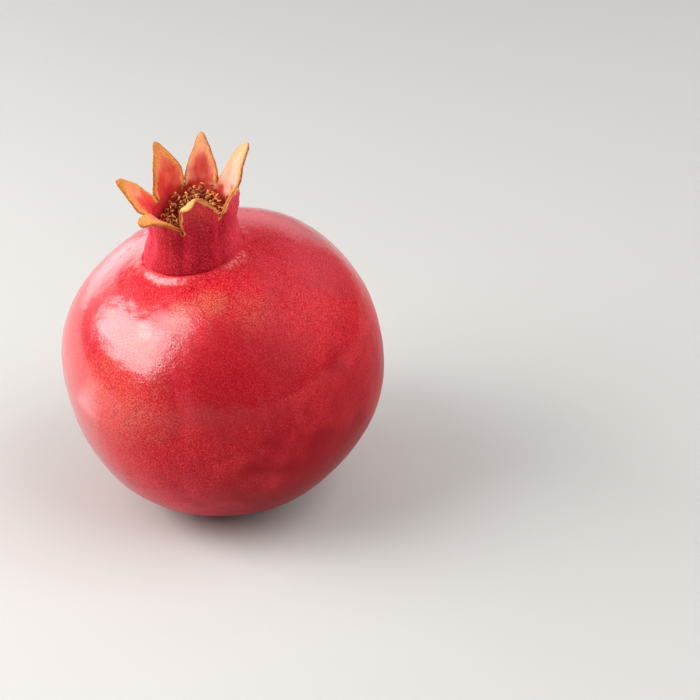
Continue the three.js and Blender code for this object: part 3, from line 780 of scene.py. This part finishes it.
def add_stamen(surface, azimuth, random):
    """One stamen: its filament climbs beside the wall and bends inwards, to a curled anther."""
    foot_radius = mix(0.4, 0.99, random.random() ** 0.6) * STAMEN_FIELD
    lean = mix(0.2, 4.4, random.random() ** 1.5)
    sway = mix(-0.16, 0.16, random.random())
    top_mean = STAMEN_TOP + STAMEN_TOP_SWAY * math.cos(azimuth - math.radians(STAMEN_TOP_AZIMUTH))
    inwards = lean + STAMEN_FIELD - foot_radius
    top = max(MAT_TOP + 1.2, top_mean + mix(-1.8, 1.0, random.random()) - 0.3 * inwards)
    end_radius = min(foot_radius, STAMEN_FIELD - 0.3) - lean
    foot = polar(foot_radius, azimuth, MAT_TOP - 0.5)
    middle = polar(foot_radius - 0.12 * lean, azimuth + 0.4 * sway, mix(MAT_TOP, top, 0.62))
    end = polar(end_radius, azimuth + sway, top)
    path = curve_through(foot, middle, end, FILAMENT_POINTS)
    path[:, 0] += slant(path[:, 2])
    tint = random.random()
    thickness = FILAMENT_RADIUS * mix(0.8, 1.25, random.random())
    add_rod(surface, path, thickness * np.linspace(1, 0.65, FILAMENT_POINTS), 5,
            anther=np.linspace(0, 0.25, FILAMENT_POINTS), tint=tint)

    length = mix(0.42, 0.66, random.random())
    sweep = np.linspace(-1, 1, ANTHER_POINTS)
    curl = sweep * mix(1.5, 2.5, random.random())
    roll, pitch = 2 * math.pi * random.random(), mix(-1.2, 1.2, random.random())
    flat = np.stack([np.sin(curl), 0 * curl, np.cos(curl) - 1], -1) * length
    turn = Matrix.Rotation(roll, 3, "Z") @ Matrix.Rotation(pitch, 3, "X")
    bulge = np.sqrt(np.maximum(0.12, 1 - sweep ** 4))
    size = ANTHER_RADIUS * mix(0.8, 1.2, random.random())
    add_rod(surface, path[-1] + flat @ np.array(turn).T, size * bulge, 6,
            anther=1, tint=random.random(), groove=np.abs(sweep))


def mat_outline():
    """The mat that the filaments stand in: it lies clear of the well and climbs its wall."""
    return np.array([
        (DOME_RADIUS / 2, MAT_FLOOR + 0.7 * DOME_RISE),
        (DOME_RADIUS, MAT_FLOOR),
        (WELL_RADIUS - GAP - 0.2, MAT_FLOOR),
        (STAMEN_FIELD + 0.1, MAT_TOP + 0.2 * MAT_EDGE_RISE),
        (STAMEN_FIELD + 0.1, MAT_TOP + 0.9 * MAT_EDGE_RISE),
        (STAMEN_FIELD - 0.6, MAT_TOP + MAT_EDGE_RISE),
        (DOME_RADIUS, MAT_TOP + 0.2 * MAT_EDGE_RISE),
        (DOME_RADIUS / 2, MAT_TOP + 0.05 * MAT_EDGE_RISE),
    ])


def make_stamens(material):
    surface = Surface()
    random = np.random.default_rng(SEED)
    radius, height = mat_outline().T[..., None]
    mat = polar(radius, round_turn(64), height)
    mat[..., 2] += ease(height, MAT_TOP - 0.5, MAT_TOP) * 0.3 * ripple(mat, 1.5)
    mat[..., 0] += slant(mat[..., 2])
    grid = surface.add(mat)
    surface.skin(grid)
    for height, row, outwards in ((MAT_FLOOR + DOME_RISE, 0, True), (MAT_TOP, -1, False)):
        surface.cap((slant(height), 0, height), grid[row], outwards)

    heights = np.linspace(MAT_TOP - 1.2, STYLE_TOP, 9)
    style = polar(slant(heights), math.pi / 2, heights)
    radii = STYLE_RADIUS * np.array([1, 0.95, 0.85, 0.75, 0.7, 0.75, 0.95, 1.2, 0.8])
    add_rod(surface, style, radii, 14, anther=0.35, tint=0.6)
    for azimuth in round_turn(STAMEN_COUNT):
        add_stamen(surface, azimuth + 1.4 * math.pi * random.random() / STAMEN_COUNT, random)
    return surface.piece("stamens_dried", material, "stamens", "stamens")


def make_stalk(material):
    """The stump of the stalk: fibrous, with a rough cut end that looks downwards."""
    surface = Surface()
    outline = np.array([
        (0.25, 0.25), (0.6, 0.3), (0.8, 0.12), (0.92, 0.02), (0.985, 0.12), (1, 0.4),
        (0.98, 0.9), (0.99, 1.5), (1, 2.2), (0.99, 3.0), (0.98, 3.7), (0.96, STALK_LENGTH),
    ])
    points = polar(STALK_RADIUS * outline[:, :1], round_turn(72), STALK_FOOT + outline[:, 1:])
    lengthwise = ripple(points * (1, 1, 0.08), 0.55)
    cut = 1 - ease(outline[:, 1:], 0.2, 0.9)
    shrink = 1 - 0.035 * (1 - lengthwise) * ease(outline[:, :1], 0.5, 0.9)
    points[..., :2] *= shrink[..., None]
    points[..., 2] += cut * (0.16 + 0.16 * ripple(points, 0.5))
    grid = surface.add(points, cut=cut)
    surface.skin(grid)
    for end, outwards in ((0, True), (-1, False)):
        surface.cap((0, 0, points[end, :, 2].mean()), grid[end], outwards, cut=cut[end, 0])
    return surface.piece("stalk_stump", material, "stalk", "stalk")


# ---------------- materials


def colour(text):
    """A colour written as rrggbb, as the shaders take it."""
    shares = [int(text[at:at + 2], 16) / 255 for at in (0, 2, 4)]
    return tuple(s / 12.92 if s <= 0.04045 else ((s + 0.055) / 1.055) ** 2.4 for s in shares) + (1,)


class Shader:
    """Builds the node tree of one material. A value in it is a number, a colour, the output of
    another node, or the name of an attribute of the mesh."""

    def __init__(self, name, **constants):
        self.material = bpy.data.materials.new(name)
        self.material.use_nodes = True
        self.tree = self.material.node_tree
        self.tree.nodes.clear()
        self.attributes = {}
        self.surface = self.tree.nodes.new("ShaderNodeBsdfPrincipled")
        output = self.tree.nodes.new("ShaderNodeOutputMaterial")
        self.tree.links.new(self.surface.outputs[0], output.inputs["Surface"])
        for socket, value in constants.items():
            self.surface.inputs[socket.replace("_", " ")].default_value = value

    def set(self, socket, value):
        if isinstance(value, str):
            value = self.attribute(value)
        if isinstance(value, bpy.types.NodeSocket):
            self.tree.links.new(value, socket)
        elif hasattr(socket.default_value, "__len__") and not hasattr(value, "__len__"):
            socket.default_value = (value,) * len(socket.default_value)
        else:
            socket.default_value = value

    def node(self, kind, inputs, output=0, **settings):
        node = self.tree.nodes.new("ShaderNode" + kind)
        for setting, value in settings.items():
            setattr(node, setting, value)
        for socket, value in inputs.items():
            self.set(node.inputs[socket], value)
        return node.outputs[output]

    def attribute(self, name):
        if name not in self.attributes:
            output = "Vector" if name in ("grown", "fibre") else "Fac"
            self.attributes[name] = self.node("Attribute", {}, output, attribute_name=name)
        return self.attributes[name]

    def maths(self, operation, first, second):
        return self.node("Math", {0: first, 1: second}, operation=operation)

    def times(self, first, second):
        return self.maths("MULTIPLY", first, second)

    def plus(self, first, second):
        return self.maths("ADD", first, second)

    def scaled(self, vector, factors):
        return self.node("VectorMath", {0: vector, 1: factors}, operation="MULTIPLY")

    def noise(self, vector, scale, detail, roughness=0.5):
        """Cloudy noise, mostly between 0.3 and 0.7."""
        inputs = {"Vector": vector, "Scale": scale, "Detail": detail, "Roughness": roughness}
        return self.node("TexNoise", inputs, "Fac")

    def cells(self, vector, scale):
        """Distance from the nearest of many scattered points."""
        return self.node("TexVoronoi", {"Vector": vector, "Scale": scale}, "Distance")

    def step(self, value, start, end, low=0.0, high=1.0):
        """A smooth step from low to high as the value goes from start to end."""
        inputs = {
            "Value": value, "From Min": start, "From Max": end, "To Min": low, "To Max": high,
        }
        return self.node("MapRange", inputs, interpolation_type="SMOOTHSTEP")

    def mix(self, share, first, second):
        """A mix of two colours."""
        return self.node("Mix", {0: share, 6: first, 7: second}, 2, data_type="RGBA")

    def tinted(self, body, tint, value, start, end, most=1.0):
        """A colour with a tint, up to the share most as the value goes from start to end."""
        return self.mix(self.step(value, start, end, 0.0, most), body, tint)

    def bump(self, height, strength, distance):
        return self.node("Bump", {"Height": height, "Strength": strength, "Distance": distance})

    def finish(self, **inputs):
        for socket, value in inputs.items():
            self.set(self.surface.inputs[socket.replace("_", " ")], value)
        return self.material


CRIMSON = colour("be0820")
# a deeper red that also serves as painted shade
DEEP_RED_AND_SHADE = colour("8e0516")
SCARLET = colour("cc1626")
# a rosy tone, also used as painted sheen
ROSE_AND_SHEEN = colour("dc3c52")
LEAF_RED = colour("cc3c3e")
TUBE_RED = colour("be1430")
WINE = colour("8c081c")
# golden freckles, also used for a painted reflection
GOLD_AND_GLINT = colour("d08462")
FLECK = colour("e85a58")
# pale wrinkles, also used for a painted highlight
PALE_AND_HIGHLIGHT = colour("f2a09c")
DUSK = colour("a4404c")
SCAR = colour("8c1420")
ROOT_RED = colour("dc3a40")
CORAL = colour("e05a44")
ORANGE = colour("ee9058")
PEACH = colour("f8b8a0")
STAIN = colour("c83c34")
TAN = colour("e8a662")
OCHRE = colour("d07e3c")
CREAM = colour("f0b276")
RUST = colour("9c5426")

STREAK = (1, 1, 0.22)  # draws a pattern out along the crown


def plain_red(shader):
    """The red of the outside, which varies softly and is deeper on the crown, with a painted pink
    sheen on the crown's sides and in patches of the skin.
    """
    red = shader.tinted(CRIMSON, SCARLET, shader.noise("grown", 0.05, 3), 0.38, 0.62)
    red = shader.tinted(red, WINE, shader.noise("grown", 0.22, 4, 0.65), 0.5, 0.7, 0.35)
    meridians = shader.noise(shader.scaled("fibre", (1, 1, 0.12)), 0.35, 3, 0.6)
    red = shader.tinted(red, ROSE_AND_SHEEN, meridians, 0.5, 0.72, 0.35)
    streaks = shader.noise(shader.scaled("fibre", STREAK), 0.16, 3)
    tube = shader.tinted(TUBE_RED, WINE, streaks, 0.4, 0.62, 0.5)
    tube = shader.tinted(tube, LEAF_RED, "along", -0.1, 0.6)
    red = shader.mix("crown", red, tube)
    # painted sheen: a pink sheen on the crown's sides and in patches of the skin
    return shader.mix(shader.times("rose", 0.75), red, ROSE_AND_SHEEN)


def speckled(shader, red, grain):
    """Adds fine grain, flecks and dots all over, and the deep red patches, which on the front are
    painted shade, the golden patches, two of which are a painted reflection, and the dusky patches.
    """
    red = shader.tinted(red, WINE, grain, 0.5, 0.36, 0.7)
    specks = shader.noise("grown", 2.7, 2, 0.6)
    dots = shader.step(shader.cells("grown", 1.25), 0.3, 0.16, 0, 0.4)
    dots = shader.times(dots, shader.step(shader.noise("grown", 0.9, 1), 0.42, 0.6))
    fleck = shader.maths("MAXIMUM", shader.step(specks, 0.5, 0.6, 0, 0.5), dots)
    fleck = shader.times(fleck, shader.step("crown", 0, 1, 1, 0.8))
    red = shader.mix(fleck, red, FLECK)
    # painted shade: the deep patches darken the front right and the lower right
    red = shader.mix(shader.times("deep", 0.7), red, DEEP_RED_AND_SHADE)
    # golden freckles, and high on the front a painted reflection of a lamp
    golden = shader.times("gold", shader.step(specks, 0.42, 0.62, 0.08, 0.85))
    red = shader.mix(shader.times(golden, 0.55), red, GOLD_AND_GLINT)
    dusky = shader.times("dusk", shader.step(grain, 0.62, 0.4))
    return shader.mix(shader.times(dusky, 0.4), red, DUSK)


def marked(shader, red):
    """Adds the pale short wrinkles round the crown's foot, which are partly a painted highlight,
    and darkens the dents.
    """
    wrinkled = shader.noise(shader.scaled("fibre", (1, 1, 1.3)), 0.75, 4, 0.7)
    # partly painted highlight: pale round the whole foot, and more in the pale patches
    pale = shader.step(shader.times("foot", shader.plus("pale", 0.25)), 0.2, 0.9)
    pale = shader.times(pale, shader.step(wrinkled, 0.42, 0.6))
    red = shader.mix(shader.times(pale, 0.5), red, PALE_AND_HIGHLIGHT)
    return shader.tinted(red, SCAR, "scar", 0.35, 0.9, 0.7)


def sepal_inside(shader, grain):
    """Crimson at the root, coral and orange higher up, and pale on some sepals."""
    blush = shader.noise("fibre", 0.14, 2)
    height = shader.plus("along", shader.step(blush, 0.3, 0.7, -0.22, 0.22))
    height = shader.plus(height, shader.step("pallor", 0.7, 1, 0, 0.4))
    inside = shader.tinted(ROOT_RED, CORAL, height, -0.2, 0.35)
    inside = shader.tinted(inside, ORANGE, height, 0.3, 0.95)
    inside = shader.mix(shader.times(shader.step(height, 0.1, 0.6), "pallor"), inside, PEACH)
    inside = shader.mix("stain", inside, STAIN)
    return shader.tinted(inside, CRIMSON, grain, 0.5, 0.3, 0.3)


def with_dry_margins(shader, body, grain):
    """Adds dry tan margins with a rusty line on the edge, and brown tips on the redder sepals.
    Returns the colour and how dry each place is."""
    fray = shader.step(shader.noise("fibre", 0.4, 3), 0.3, 0.7, -0.5, 0.5)
    width = shader.step("inner", 0, 1, 0.55, 1.3)
    width = shader.times(width, shader.step("along", 0.15, 0.95, 1, 2.4))
    from_edge = shader.maths("DIVIDE", shader.plus("margin", fray), width)
    dry = shader.times(shader.step(from_edge, 1, 0.3), "tan")
    tone = shader.tinted(OCHRE, TAN, grain, 0.36, 0.66)
    tone = shader.tinted(tone, CREAM, "pallor", 0.5, 1, 0.6)
    body = shader.mix(dry, body, tone)
    aged = shader.times(shader.step("along", 0.7, 1, 0, 0.4), shader.step("pallor", 0.6, 0.2))
    body = shader.mix(aged, body, RUST)
    line = shader.times(shader.step("margin", 0.3, 0), shader.step(fray, 0.6, -0.6))
    body = shader.mix(shader.times(line, 0.7), body, RUST)
    edge = shader.tinted(RUST, OCHRE, grain, 0.4, 0.6)
    return shader.tinted(body, edge, "margin", -0.1, -0.5), dry


def leathery_relief(shader, grain):
    """Pores, pebbles and soft lumps on the skin, and fibres on the crown."""
    relief = shader.times(shader.noise("grown", 0.4, 2, 0.45), 0.75)
    pebbles = shader.noise(shader.scaled("grown", (1, 1, 0.6)), 1.3, 2, 0.6)
    fibres = shader.noise(shader.scaled("fibre", STREAK), 1.3, 3, 0.65)
    for pattern, strength in (
        (shader.cells("grown", 1.1), 0.12), (pebbles, 0.4), (grain, 0.3),
        (fibres, shader.times("crown", 0.4)),
    ):
        relief = shader.plus(relief, shader.times(pattern, strength))
    return shader.bump(relief, 0.3, 0.0003)


def skin_material():
    """Waxy skin. The wax is the shader's coat: duller on the crown, and none on dry margins."""
    shader = Shader(
        "pomegranate_skin", Specular_IOR_Level=0.05, Coat_Roughness=0.17, Coat_IOR=1.6
    )
    grain = shader.noise(shader.scaled("grown", (1, 1, 0.7)), 2.2, 2, 0.7)
    outside = marked(shader, speckled(shader, plain_red(shader), grain))
    body = shader.mix("inner", outside, sepal_inside(shader, grain))
    body, dry = with_dry_margins(shader, body, grain)
    dull = shader.maths("MAXIMUM", shader.times("crown", 0.6), dry)
    relief = leathery_relief(shader, grain)
    return shader.finish(
        Base_Color=body,
        Roughness=shader.plus(shader.step(grain, 0.35, 0.7, 0.28, 0.36), shader.times(dull, 0.3)),
        Coat_Weight=shader.times(shader.step(dull, 0.8, 0), "polish"),
        Normal=relief,
        Coat_Normal=relief,
    )


def stamen_material():
    """Dry threads, wine red at the foot, and anthers from brown to golden tan."""
    shader = Shader("dried_stamens")
    thread = shader.tinted(colour("a01420"), colour("b0401e"), "anther", 0, 0.25)
    thread = shader.mix(shader.times("tint", 0.4), thread, colour("c4702c"))
    golden = shader.tinted(colour("7e3416"), colour("e2a058"), "tint", 0.1, 0.9)
    golden = shader.tinted(golden, colour("6c2c12"), "groove", 0.7, 1, 0.6)
    cloud = shader.noise("grown", 2.2, 3)
    golden = shader.tinted(golden, colour("98501e"), cloud, 0.5, 0.7, 0.5)
    body = shader.tinted(thread, golden, "anther", 0.4, 0.9)
    relief = shader.bump(shader.noise("grown", 5, 3), 0.5, 0.0001)
    return shader.finish(Base_Color=body, Roughness=0.6, Normal=relief)


def stalk_material():
    """Dry brown bark with lengthwise fibres, paler and rougher on the cut."""
    shader = Shader("dry_stalk")
    fibres = shader.noise(shader.scaled("grown", (1, 1, 0.12)), 2.4, 4, 0.65)
    bark = shader.tinted(colour("4b3020"), colour("8c6844"), fibres, 0.4, 0.62)
    wood = shader.mix(shader.noise("grown", 2, 3), colour("8a6a45"), colour("c9a878"))
    body = shader.mix("cut", bark, wood)
    return shader.finish(Base_Color=body, Roughness=0.85, Normal=shader.bump(fibres, 0.6, 0.0003))


def floor_material():
    """Matt pale paper."""
    shader = Shader("studio_floor", Roughness=0.9, Specular_IOR_Level=0.2)
    tone = shader.noise(shader.node("TexCoord", {}, "Object"), 3, 2)
    return shader.finish(Base_Color=shader.mix(tone, colour("bcbab7"), colour("c2c0bd")))


# ---------------- the studio

# Each lamp is a softbox that the camera doesn't see, given as the middle, the way it looks, the
# way its first side runs, its two sides and its radiance. The two keys make the large reflection
# on the left shoulder, and the card on the floor the pale band below it.
LAMPS = {
    "key": ((-0.521, 0.032, 0.35), (0.827, 0.524, -0.204), (-0.534, 0.845, 0), (0.8, 0.29), 7.2),
    "key_top": (
        (-0.36, -0.125, 0.53), (0.18, -0.252, -0.951), (-0.883, 0.384, 0), (0.35, 0.23), 5.3,
    ),
    "card": ((-0.2225, 0.005, 0.003), (0, 0, 1), (1, 0, 0), (0.275, 0.034), 1.0),
    "low": ((-0.2, -0.3, 0.04), (0.55, 0.83, 0), (0.83, -0.55, 0), (0.3, 0.08), 0.6),
    "behind": ((-0.59, 0.79, 0.22), (0.6, -0.8, -0.17), (0.8, 0.6, 0), (0.55, 0.5), 2.3),
    "back": ((0.13, 0.96, 0.31), (-0.13, -0.96, -0.26), (1, 0, 0), (0.5, 0.5), 0.5),
    "right": ((0.66, 0.56, 0.55), (-0.66, -0.56, -0.5), (0.56, -0.66, 0), (0.6, 0.6), 0.85),
    "front": ((0.675, -0.215, 0.68), (-0.675, 0.215, -0.63), (0.215, 0.675, 0), (1.0, 1.0), 2.95),
    "overhead": ((0, 0.3, 2.4), (0, 0, -1), (1, 0, 0), (3.2, 3.2), 0.55),
}
FILLS = ("front", "right", "overhead", "low")  # lamps so diffuse that they leave no reflection
WORLD_STRENGTH = 0.1

CAMERA_PLACE = (0.0396, -0.48502, 0.32716)
CAMERA_ELEVATION = 30
CAMERA_LENS = 100
CAMERA_SENSOR = 36
FLOOR_REACH = 4.0


def add_floor():
    mesh = bpy.data.meshes.new("floor")
    corners = [(x * FLOOR_REACH, y * FLOOR_REACH, 0) for x, y in ((-1, -1), (1, -1), (1, 1), (-1, 1))]
    mesh.from_pydata(corners, [], [(0, 1, 2, 3)])
    mesh.materials.append(floor_material())
    floor = bpy.data.objects.new("floor", mesh)
    bpy.context.scene.collection.objects.link(floor)


def oriented(place, right, up, back):
    """The matrix of a thing at a place, with the way its own X, Y and Z run."""
    return Matrix.Translation(place) @ Matrix((right, up, back)).transposed().to_4x4()


def add_softbox(name, middle, facing, edge, size, radiance):
    """A rectangular lamp that looks in a direction, with its first side along an edge."""
    lamp = bpy.data.lights.new(name, "AREA")
    lamp.shape = "RECTANGLE"
    lamp.size, lamp.size_y = size
    lamp.energy = radiance * math.pi * size[0] * size[1]
    back = -Vector(facing).normalized()
    side = (Vector(edge) - Vector(edge).dot(back) * back).normalized()
    box = bpy.data.objects.new(name, lamp)
    box.matrix_world = oriented(middle, side, back.cross(side), back)
    box.visible_camera = False
    box.visible_glossy = name not in FILLS
    bpy.context.scene.collection.objects.link(box)


def add_lights():
    """The lamps, in a dim and even surrounding light."""
    for name, values in LAMPS.items():
        add_softbox(name, *values)
    world = bpy.data.worlds.new("studio")
    bpy.context.scene.world = world
    world.use_nodes = True
    background = world.node_tree.nodes["Background"]
    background.inputs["Color"].default_value = colour("fbfaf9")
    background.inputs["Strength"].default_value = WORLD_STRENGTH


def add_camera():
    """A long lens from the front and above, with the fruit left of the middle."""
    data = bpy.data.cameras.new("camera")
    data.lens = CAMERA_LENS
    data.sensor_width = CAMERA_SENSOR
    data.clip_end = 20
    low, high = math.sin(math.radians(CAMERA_ELEVATION)), math.cos(math.radians(CAMERA_ELEVATION))
    camera = bpy.data.objects.new("camera", data)
    camera.matrix_world = oriented(CAMERA_PLACE, (1, 0, 0), (0, low, high), (0, -high, low))
    bpy.context.scene.collection.objects.link(camera)
    bpy.context.scene.camera = camera


add_camera()
make_fruit(skin_material())
make_stamens(stamen_material())
make_stalk(stalk_material())
add_floor()
add_lights()
bpy.context.scene.view_settings.view_transform = "Standard"
